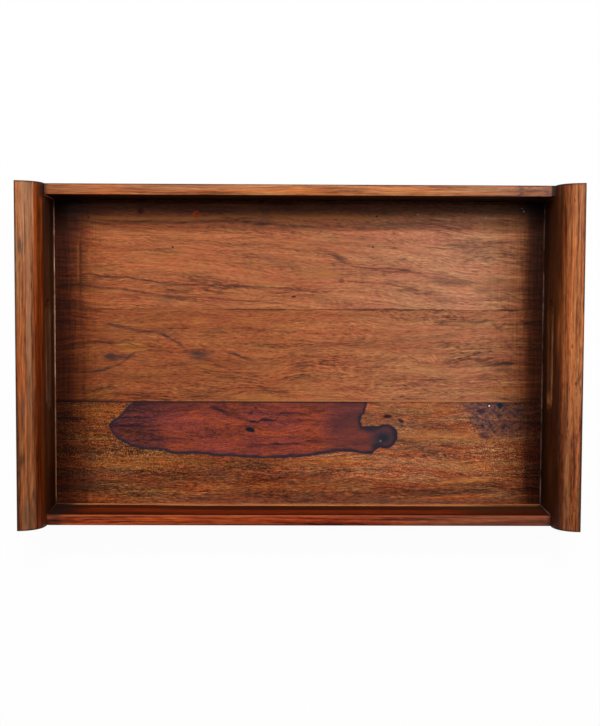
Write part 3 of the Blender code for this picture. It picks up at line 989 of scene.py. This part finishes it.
class WallBoard(Wood):
    """A rail, an end board or a dowel: its figure and colour."""

    def __init__(self, name, seed, tones, contrast=1.0, grain_along_y=False):
        super().__init__(name, seed, grain_along_y)
        self.wavy(90.0, 20.0, 2.0)
        self.fibre = self.streaks(14.0, 0.6, roughness=0.65)
        self.lines = self.streaks(55.0, 1.7, roughness=0.6)
        bands = self.streaks(150.0, 4.5)
        self.broken = self.streaks(14.0, 3.0, detail=1.0)
        self.pores = self.streaks(3.2, 0.45, detail=0.0).step(0.5, 1.0)
        figure = (
            bands * 0.24 + self.lines * 0.46 + self.streaks(9.0, 1.1, detail=1.0) * 0.14
            + self.fibre * 0.24 - self.pores * 0.12
        )
        self.colour = self.ramp(tones, figure * contrast + 0.52)
        warmth = self.streaks(80.0, 3.0).step(-0.6, 0.6)
        self.tinge(1.0, self.mix(warmth, WALL_REDDER, WALL_GOLDEN))

    def finished(self):
        roughness = WALL_ROUGHNESS + self.fibre * 0.05
        return lacquered(self, self.fibre * 0.4 - self.pores, roughness)


class EndBoard(WallBoard):
    """A moulded end board, with painted light and shade that change up its inner face and out over its
    lip.
    """

    def __init__(self, name, seed, tones, tints, shades, contrast=1.0):
        super().__init__(name, seed, tones, contrast, grain_along_y=True)
        self.tint_along(tints, RAIL_OUTER_Y)
        out = abs(self.x) - WELL_HALF_LENGTH_AT_TOP
        rise = self.z + out
        outside = out.step(4.0, 6.0) * self.z.step(76.0, 70.0)
        self.rise = rise + self.lines * 0.8
        self.inside = 1.0 - outside
        shown = self.curve(shades, self.rise, 0.0, MOST_SHADE)
        shown = 1.0 - self.inside + shown * self.inside
        self.tinge(1.0, self.node("ShaderNodeCombineColor", None, [shown] * 3))

    def marks(self, table, softness=1.5):
        """Spots placed by the rise up the moulding and by y."""
        return self.spots(table, self.joined(self.rise, self.y), softness)

    def paint_edge_shade(self, width):
        """Darkens the edge of the lip and both ends of the board: painted shade on their rounded
        arrises.
        """
        inset = LIP_X - abs(self.x) + self.broken * 0.6
        share = (inset / width).step(1.0, 0.25, 0.0, 0.8)
        ends = abs(self.y) + self.broken * 0.4
        share = share.most(ends.step(RAIL_OUTER_Y - 2.0, RAIL_OUTER_Y - 0.2, 0.0, 0.7))
        self.paint(share, BLACK_BROWN)


# What share of its colour an end board shows, by the rise up its moulding: painted shade low on the
# inner face and painted light over the crest and lip.
MOST_SHADE = 1.4
LEFT_END_SHADES = (
    (10.0, 0.30), (30.0, 0.32), (38.0, 0.5), (48.0, 0.6), (57.0, 0.42), (62.0, 0.38), (66.0, 0.7),
    (70.0, 0.75), (74.0, 0.48), (78.0, 0.84), (82.0, 1.1), (86.0, 1.3), (89.0, 1.22), (92.0, 1.0),
    (95.5, 1.18), (99.0, 1.06), (102.5, 0.92),
)
RIGHT_END_SHADES = (
    (10.0, 0.2), (20.0, 0.14), (30.0, 0.18), (40.0, 0.22), (48.0, 0.33), (58.0, 0.33), (67.0, 0.24),
    (73.0, 0.25), (77.0, 0.36), (79.0, 0.52), (82.0, 0.70), (84.0, 0.82), (88.0, 0.98), (92.0, 1.06),
    (102.5, 1.12),
)

# From the left end of a rail to its right end.
BACK_RAIL_TINTS = (
    (0.0, (0.78, 0.72, 0.66)),
    (0.3, (0.9, 0.85, 0.8)),
    (0.5, (1.12, 1.1, 0.88)),
    (0.7, (1.05, 1.08, 1.0)),
    (1.0, (0.78, 0.92, 1.3)),
)
FRONT_RAIL_TINTS = (
    (0.0, (1.38, 1.5, 1.2)),
    (0.35, (0.86, 0.70, 0.74)),
    (0.6, (0.82, 0.68, 0.80)),
    (1.0, (0.70, 1.08, 1.9)),
)

# From the front end of an end board to its back end.
LEFT_END_TINTS = (
    (0.12, (0.74, 0.66, 0.55)),
    (0.35, (0.80, 0.74, 0.66)),
    (0.54, (0.94, 0.84, 0.72)),
    (0.75, (1.02, 1.02, 1.0)),
    (0.9, (1.1, 1.2, 1.3)),
)
RIGHT_END_TINTS = (
    (0.12, (0.66, 0.62, 0.60)),
    (0.35, (0.92, 0.88, 0.82)),
    (0.54, (1.1, 1.0, 0.88)),
    (0.75, (1.06, 1.0, 0.90)),
    (0.9, (1.06, 1.04, 1.0)),
)

# Oval spots on the end boards: rise up the moulding, y, half height, half length, strength, and a turn
# in degrees where there is one.
LEFT_END_MARKS = (
    (48, -22, 5.5, 6, 0.45),
    (98, 89, 2.2, 7, 0.75),
    (83, 18, 2.4, 2.4, 0.4),
    (97, -40, 2.2, 9, 0.6),
    (83, -114, 2.0, 7, 0.6),
    (89, -20, 1.6, 9, 0.5),
    (96, -128, 3, 13, 0.7),
    (87, -129, 2.5, 11, 0.45),
)
RIGHT_END_MARKS = (
    (92, 10, 1.3, 1.8, 0.8),
    (92, 127, 1.2, 1.6, 0.6),
    (96.5, -20, 1.3, 1.8, 0.8),
)
LEFT_END_STREAKS = (
    (68, 108, 1.5, 22, 0.8),
    (66, 30, 1.8, 17, 0.9),
    (62.5, 19, 4.5, 18, 0.34),
    (53, 19, 3.6, 11, 0.16),
    (77, 24, 3.0, 30, 0.12),
    (86.5, 95, 1.8, 40, 0.6),
)
# Lighter patches; the two in the hand slot are painted light, where light reaches through the slot.
RIGHT_END_GLINTS_AND_PATCHES = (
    (44, -11, 7, 7, 0.5),
    (38, -36, 5, 6, 0.9),
    (72, 25, 4, 25, 0.5),
    (54, -92, 9, 20, 0.12),
    (62, -70, 3, 50, 0.06),
    (88, -92, 3.2, 19, 0.55),
    (94, 12, 2.4, 32, 0.3),
)
RIGHT_END_DAPPLES = (
    (95.5, -92, 2.2, 15, 0.55),
    (76, -126, 4, 10, 0.8, 6),
    (90, -133, 2, 5, 0.6),
    (73, -40, 4.5, 42, 0.7),
    (85, -62, 4, 22, 0.4),
    (95, -68, 3, 11, 0.4),
    (88, 126, 4, 16, 0.3),
    (84, -60, 2, 12, 0.35, 4),
    (97, 60, 1.4, 20, 0.4),
)
# Dark dapples; those in the hand slot, darkest at its front end, are painted shade.
LEFT_END_DAPPLES_AND_SLOT_SHADE = (
    (81.5, -31, 2.2, 9, 0.6),
    (71.5, -46, 3.2, 24, 0.4),
    (36, -26, 6, 30, 0.5),
    (82.5, 58, 1.6, 14, 0.3),
    (43, -44, 5, 4.5, 1.0),
    (86, -112, 1.4, 5, 0.6, 12),
    (81, -118, 1.8, 8, 0.5, -8),
    (98, -84, 2.0, 5, 0.6),
)


def finish_back_rail():
    wood = WallBoard("wood_back_rail", 130.0, RAIL_TONES)
    wood.tint_along(BACK_RAIL_TINTS)
    # The inner face lies in shade: painted shade darkens it.
    inside = wood.y.step(WELL_HALF_DEPTH + 0.6, WELL_HALF_DEPTH + 0.2)
    wood.tinge(inside, BACK_WALL_SHADE)
    mottled = wood.x.step(140.0, 190.0) * wood.streaks(9.0, 3.0, roughness=0.6).step(0.0, 0.5)
    wood.paint(mottled * 0.7, BACK_RAIL_PURPLE)
    # Painted shade: the outer arris darker, and both ends of the top darker where the end boards shade
    # them.
    wood.paint(wood.y.step(RAIL_OUTER_Y - 1.2, RAIL_OUTER_Y - 0.3, 0.0, 0.7), BLACK_BROWN)
    wood.paint(wood.x.step(-204.0, -209.5, 0.0, 0.75), BLACK_BROWN)
    wood.paint(wood.x.step(204.8, 206.5, 0.0, 0.93), BLACK_BROWN)
    return wood.finished()


def finish_front_rail():
    wood = WallBoard("wood_front_rail", 170.0, FRONT_RAIL_TONES, contrast=1.3)
    wood.tint_along(FRONT_RAIL_TINTS)

    # The inner face: painted shade darkens it to dark red, olive low at the right, except a band of the
    # wood's own red along its middle; painted shade also darkens it just below its top.
    inside = wood.y.step(-WELL_HALF_DEPTH - 0.6, -WELL_HALF_DEPTH - 0.2)
    wood.paint(inside * 0.9, FRONT_WALL_SHADE)
    olive = wood.x.step(105.0, 150.0, 0.0, 0.7) * wood.z.step(46.0, 34.0)
    wood.paint(inside * olive, FRONT_WALL_OLIVE)
    sunk = wood.x.step(-165.0, -70.0, 0.0, 9.0)
    height = wood.z + wood.streaks(110.0, 30.0) * 3.0 + wood.fibre * 1.5 - sunk
    ends = wood.x.step(-200.0, -172.0) * wood.x.step(160.0, 110.0, 0.15, 1.0)
    glow = height.between(25.0, 31.0, 37.0, 52.0) * ends
    wood.paint(inside * glow * (0.78 + wood.broken * 0.5 + wood.lines * 0.5), FRONT_WALL_BAND_RED)
    wood.paint(inside * wood.z.step(55.5, 57.5, 0.0, 0.6), FRONT_WALL_TOP_SHADE)

    # A painted highlight along its foot, where lacquer gathers in the corner, and a painted highlight on
    # the red arris at its top.
    low = wood.z - wood.x.step(-150.0, -80.0, 0.0, 4.0)
    line = low.step(14.0, 12.5) * wood.x.step(-204.0, -196.0)
    line = line * wood.x.step(185.0, 130.0, 0.25, 1.0) * (0.8 + wood.broken * 0.35)
    wood.paint(inside * line, FRONT_FOOT_HIGHLIGHT)
    arris = wood.y.step(-WELL_HALF_DEPTH - 2.0, -WELL_HALF_DEPTH - 1.2) * (1.0 - inside)
    wood.paint(arris * (0.6 + wood.broken * 0.4), FRONT_ARRIS_HIGHLIGHT)

    # Both ends, darkened as painted shade where the end boards shade them, the browner right half of the
    # top, and the outer edge, darkened as painted shade on its arris.
    wood.paint(inside * wood.x.step(-175.0, -196.0, 0.0, 0.6), BLACK_BROWN)
    wood.paint(wood.x.step(-190.0, -203.0, 0.0, 0.8) * (0.9 + wood.broken * 0.4), BLACK_BROWN)
    wood.paint((1.0 - inside) * wood.x.step(60.0, 150.0, 0.0, 0.4), FRONT_RAIL_BROWN)
    wood.paint(wood.x.step(204.0, 209.5, 0.0, 0.75), BLACK_BROWN)
    wood.paint(wood.y.step(-RAIL_OUTER_Y + 1.2, -RAIL_OUTER_Y + 0.3, 0.0, 0.7), BLACK_BROWN)
    return wood.finished()


def finish_left_end_board():
    wood = EndBoard("wood_left_end_board", 210.0, LEFT_END_TONES, LEFT_END_TINTS, LEFT_END_SHADES)
    rise, inside = wood.rise, wood.inside
    # Painted shade: the steep inner face redder, as where no sheen falls on it.
    wood.tinge(rise.between(60.0, 66.0, 80.5, 83.0) * inside, LEFT_STEEP_SHADE_TINT)
    # A painted sheen: a pale greyish stripe along the crest, strongest towards the back.
    crest_sheen = rise.between(86.0, 88.0, 90.5, 92.5) * wood.y.step(-45.0, 30.0, 0.1, 0.55)
    wood.paint(crest_sheen, LEFT_CREST_SHEEN)
    wood.tinge(rise.step(95.0, 100.0), LEFT_LIP_TINT)
    # Painted shade: the hollow of the moulding towards the front, the foot of the wall towards both
    # corners, and the back corner by the rail.
    wood.tinge(wood.y.step(45.0, 15.0) * rise.between(75.0, 79.0, 84.0, 87.0), LEFT_HOLLOW_SHADE)
    wood.tinge(rise.step(58.0, 52.0) * wood.y.step(75.0, 110.0), LEFT_BACK_FOOT_SHADE)
    wood.tinge(rise.step(62.0, 50.0) * wood.y.step(-70.0, -110.0), LEFT_FRONT_FOOT_SHADE)
    corner = rise.between(56.0, 60.0, 71.0, 74.0) * wood.y.step(126.0, 131.0)
    wood.paint(corner * inside * 0.85, BLACK_BROWN)
    wood.paint(wood.marks(LEFT_END_STREAKS) * (0.7 + wood.lines) * inside, LEFT_END_STREAK)
    wood.paint(wood.marks(LEFT_END_MARKS, 1.0) * inside, LEFT_END_MARK)
    # Dark dapples, and painted shade in the hand slot.
    wood.paint(wood.marks(LEFT_END_DAPPLES_AND_SLOT_SHADE) * inside, LEFT_END_DARK)
    wood.paint_edge_shade(wood.y.step(-10.0, -40.0, 2.2, 3.2))
    return wood.finished()


def finish_right_end_board():
    wood = EndBoard(
        "wood_right_end_board", 250.0, RIGHT_END_TONES, RIGHT_END_TINTS, RIGHT_END_SHADES, contrast=0.95
    )
    rise, inside = wood.rise, wood.inside
    wood.tinge(1.0, RIGHT_TINT)
    wood.tinge(wood.y.step(-15.0, -45.0) * rise.step(92.0, 84.0), RIGHT_FRONT_TINT)
    # Painted shade at the foot of the wall towards the back corner.
    wood.tinge(wood.y.step(70.0, 100.0) * rise.step(68.0, 58.0), RIGHT_BACK_FOOT_SHADE)
    # Painted shade: the steep inner face redder, as where no sheen falls on it.
    wood.tinge(rise.between(60.0, 66.0, 80.5, 86.0) * inside, RIGHT_STEEP_SHADE_TINT)
    wood.paint(wood.marks(RIGHT_END_MARKS, 1.0) * inside, RIGHT_END_MARK)
    flecks = wood.streaks(8.0, 1.4, roughness=0.65).step(-0.05, 0.45) * rise.step(50.0, 62.0)
    wood.tinge(flecks * wood.y.step(100.0, -70.0, 0.25, 0.9), RIGHT_FLECK_TINT)
    # Lighter patches, and painted light in the hand slot.
    wood.paint(wood.marks(RIGHT_END_GLINTS_AND_PATCHES) * (0.7 + wood.broken * 0.8) * inside, RIGHT_END_GLINT_COLOUR)
    wood.paint(wood.marks(RIGHT_END_DAPPLES) * (0.9 + wood.broken * 0.6) * inside, RIGHT_END_DAPPLE)
    wood.paint_edge_shade(wood.y.step(-10.0, -60.0, 2.0, 4.0))
    return wood.finished()


# Smooth shading

WELD_DISTANCE = 0.01 * MM
SOFT_EDGE = math.radians(35)


def smooth_rounds():
    """Nodes that shade eased edges and moulded faces smooth, and keep every sharper edge."""
    group = bpy.data.node_groups.new("smooth_rounds", "GeometryNodeTree")
    for way in ("INPUT", "OUTPUT"):
        group.interface.new_socket("Geometry", in_out=way, socket_type="NodeSocketGeometry")
    rounds = Nodes(group)
    shape = rounds.node("NodeGroupInput")
    shape = rounds.node(
        "GeometryNodeRemoveAttribute", None, {"Geometry": shape, "Name": "custom_normal"}
    )
    shape = rounds.node(
        "GeometryNodeMergeByDistance", None, {"Geometry": shape, "Distance": WELD_DISTANCE}
    )
    shape = rounds.node("GeometryNodeSetShadeSmooth", {"domain": "FACE"}, {"Geometry": shape})
    angle = rounds.node("GeometryNodeInputMeshEdgeAngle", output="Unsigned Angle")
    soft = rounds.node(
        "FunctionNodeCompare",
        {"data_type": "FLOAT", "operation": "LESS_THAN"},
        {"A": angle, "B": SOFT_EDGE},
    )
    shape = rounds.node(
        "GeometryNodeSetShadeSmooth", {"domain": "EDGE"}, {"Geometry": shape, "Shade Smooth": soft}
    )
    rounds.node("NodeGroupOutput", None, [shape])
    return group


rounds_group = smooth_rounds()


def dress(node, material):
    """Gives a CAD solid its finish and smooth shading."""
    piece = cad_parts[node]
    for place in piece.material_slots:
        place.material = material
    piece.modifiers.new("smooth_rounds", "NODES").node_group = rounds_group


dress("base_board_back", finish_back_board())
dress("base_board_middle", finish_middle_board())
dress("base_board_front", finish_front_board())
dress("back_rail", finish_back_rail())
dress("front_rail", finish_front_rail())
dress("left_end_board", finish_left_end_board())
dress("right_end_board", finish_right_end_board())
dowel_wood = WallBoard("wood_dowel", 290.0, DOWEL_TONES).finished()
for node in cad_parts:
    if node.startswith("dowel"):
        dress(node, dowel_wood)


# Beads of lacquer left in the inner corners of the well, which carry the painted highlight along each
# corner: bright on the lit left and front, dark in shade at the right and back

BEAD_WIDTH = 0.7
BEAD_HEIGHT = 4.0
BEAD_STEPS = 4
BEAD_PATCH_SCALE = (0.05, 0.05, 0.05)
BEAD_GRIT_SCALE = (1.2, 1.2, 1.2)
BEAD_GOLD = (0.30, 0.095, 0.026)
# The name of each lacquer, with its dull and its bright colour; the bright ones are painted highlights,
# the dark ones painted shade.
BEAD_LACQUERS = (
    ("lacquer_left_lit", (0.34, 0.14, 0.075), (0.80, 0.46, 0.31)),
    ("lacquer_right_shaded", (0.040, 0.018, 0.016), (0.24, 0.14, 0.12)),
    ("lacquer_front_lit", (0.24, 0.066, 0.016), (0.40, 0.13, 0.038)),
    ("lacquer_back_shaded", (0.02, 0.010, 0.009), (0.09, 0.045, 0.038)),
)


def bead(name, material, start, end, out, up, height, mitre):
    """A hollow fillet from start to end, between faces that look along out and up."""
    start, end, out, up = (Vector(values) for values in (start, end, out, up))
    run = (end - start).normalized()
    section = [(0.0, 0.0)]
    for step in range(BEAD_STEPS + 1):
        angle = math.pi * 1.5 - step / BEAD_STEPS * math.pi / 2
        section.append((BEAD_WIDTH * (1 + math.cos(angle)), height * (1 + math.sin(angle))))
    mesh = bmesh.new()
    rings = []
    for corner, way in ((start, run), (end, -run)):
        rings.append([
            mesh.verts.new((corner + out * away + up * high + way * away * mitre) * MM)
            for away, high in section
        ])
    first, last = rings
    count = len(section)
    for index in range(count):
        follower = (index + 1) % count
        mesh.faces.new((first[index], first[follower], last[follower], last[index]))
    mesh.faces.new(first)
    mesh.faces.new(last)
    bmesh.ops.recalc_face_normals(mesh, faces=mesh.faces)
    data = bpy.data.meshes.new(name)
    mesh.to_mesh(data)
    mesh.free()
    piece = bpy.data.objects.new(name, data)
    bpy.context.collection.objects.link(piece)
    data.materials.append(material)
    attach(piece, "root")


def bead_lacquer(name, dull, bright):
    """Lacquer in dull and bright patches, golden towards the left front corner and darkened in it by
    painted shade.
    """
    wood = Wood(name)
    patches = wood.noise(wood.vector("MULTIPLY", wood.place, BEAD_PATCH_SCALE), 3.0, 0.6)
    wood.colour = wood.mix(patches.step(-0.4, 0.5), dull, bright)
    wood.paint(wood.y.step(-50.0, -90.0) * wood.x.step(-190.0, -205.0, 0.0, 0.8), BEAD_GOLD)
    # Painted shade in the left front corner.
    wood.paint(wood.y.step(-122.0, -131.0) * wood.x.step(-188.0, -200.0, 0.0, 0.85), BLACK_BROWN)
    grit = wood.noise(wood.vector("MULTIPLY", wood.place, BEAD_GRIT_SCALE), 2.0)
    return lacquered(wood, grit, BEAD_ROUGHNESS + grit * 0.08)


def lay_beads():
    """Beads along the foot of each wall and up each corner of the well."""
    x, y, foot, top = WELL_HALF_LENGTH, WELL_HALF_DEPTH, FLOOR_TOP, RAIL_TOP
    left, right, front, back = (bead_lacquer(*row) for row in BEAD_LACQUERS)
    sides = (
        ("bead_left", "left_end_board", left, (-x, -y, foot), (-x, y, foot), (1, 0, 0)),
        ("bead_right", "right_end_board", right, (x, -y, foot), (x, y, foot), (-1, 0, 0)),
        ("bead_front", "front_rail", front, (-x, -y, foot), (x, -y, foot), (0, 1, 0)),
        ("bead_back", "back_rail", back, (-x, y, foot), (x, y, foot), (0, -1, 0)),
    )
    for name, slot, material, start, end, out in sides:
        height = BEAD_WIDTH if name == "bead_front" else BEAD_HEIGHT
        bead(name, material, start, end, out, (0, 0, 1), height, 1)
    corners = (
        ("bead_left_front", "left_end_board", front, -1, -1),
        ("bead_left_back", "left_end_board", left, -1, 1),
        ("bead_right_front", "right_end_board", right, 1, -1),
        ("bead_right_back", "right_end_board", right, 1, 1),
    )
    for name, slot, material, side, end in corners:
        low = (side * x, end * y, foot)
        high = (side * WELL_HALF_LENGTH_AT_TOP, end * y, top - BEAD_WIDTH)
        bead(name, material, low, high, (-side, 0, 0), (0, -end, 0), BEAD_WIDTH, 0)


lay_beads()

# Floor, backdrop and lights

WHITE = (1.0, 1.0, 1.0)
FLOOR_COLOUR = (0.95, 0.95, 0.95)
FLOOR_SIZE = 8.0
FLOOR_DROP = 0.3 * MM
FLOOR_GLOW = 0.965
ROOM_LIGHT = 0.03


def backdrop_ray(nodes):
    """1 for a ray from the camera, a reflection or glass, for which the backdrop is plain white."""
    path = nodes.node("ShaderNodeLightPath", output="Is Camera Ray")
    return path.most(path.other("Is Glossy Ray")).most(path.other("Is Transmission Ray"))


def pale_floor():
    bpy.ops.mesh.primitive_plane_add(size=FLOOR_SIZE, location=(0.0, 0.0, -FLOOR_DROP))
    floor = bpy.context.object
    floor.name = "studio_floor"
    finish = Finish("studio_floor")
    seen = backdrop_ray(finish)
    paint = finish.node("ShaderNodeBsdfDiffuse", None, {"Color": FLOOR_COLOUR})
    glow = finish.node("ShaderNodeEmission", None, {"Strength": 1.0})
    finish.surface(finish.node("ShaderNodeMixShader", None, [seen * FLOOR_GLOW, paint, glow]))
    floor.data.materials.append(finish.material)


def studio_world():
    """A backdrop that is white round the tray and dimmer overhead, and lights it only a little."""
    world = bpy.data.worlds.new("studio")
    bpy.context.scene.world = world
    world.use_nodes = True
    sky = Nodes(world.node_tree)
    direction = sky.node("ShaderNodeTexCoord", output="Generated")
    height = sky.node("ShaderNodeSeparateXYZ", None, [direction], output="Z")
    glow = height.step(0.3, 0.8, 1.0, 0.15)
    lit = sky.node("ShaderNodeBackground", None, {"Color": WHITE, "Strength": ROOM_LIGHT})
    seen = sky.node("ShaderNodeBackground", None, {"Color": WHITE, "Strength": glow})
    blend = sky.node("ShaderNodeMixShader", None, [backdrop_ray(sky), lit, seen])
    sky.node("ShaderNodeOutputWorld", None, {"Surface": blend})


def softbox(name, place, width, depth, watts):
    """A soft rectangular lamp that faces the tray."""
    lamp = bpy.data.lights.new(name, "AREA")
    lamp.shape = "RECTANGLE"
    lamp.size = width
    lamp.size_y = depth
    lamp.energy = watts
    holder = bpy.data.objects.new(name, lamp)
    holder.location = place
    holder.rotation_euler = Vector(place).to_track_quat("Z", "Y").to_euler()
    bpy.context.collection.objects.link(holder)


pale_floor()
studio_world()
softbox("softbox_back", (0.0, 0.87, 1.57), width=0.6, depth=0.16, watts=18.0)
softbox("softbox_top", (0.0, 0.46, 1.6), width=1.4, depth=0.5, watts=14.0)

# Camera

CAMERA_PLACE = (-0.010429, 0.052192, 1.045456)
CAMERA_TURNS = (-0.0583066, -0.0106764, 0.0033569)
PHOTO_HEIGHT = 726
PIXELS_PER_RADIAN = 1200
SENSOR = 36.0
NEAREST_SEEN = 0.05

lens = bpy.data.cameras.new("camera")
lens.sensor_width = SENSOR
lens.lens = PIXELS_PER_RADIAN / PHOTO_HEIGHT * SENSOR
lens.clip_start = NEAREST_SEEN
camera = bpy.data.objects.new("camera", lens)
turn_x, turn_y, turn_z = (
    Matrix.Rotation(angle, 4, axis) for angle, axis in zip(CAMERA_TURNS, "XYZ")
)
camera.matrix_world = Matrix.Translation(CAMERA_PLACE) @ turn_x @ turn_y @ turn_z
bpy.context.collection.objects.link(camera)
bpy.context.scene.camera = camera
bpy.context.scene.view_settings.view_transform = "Standard"
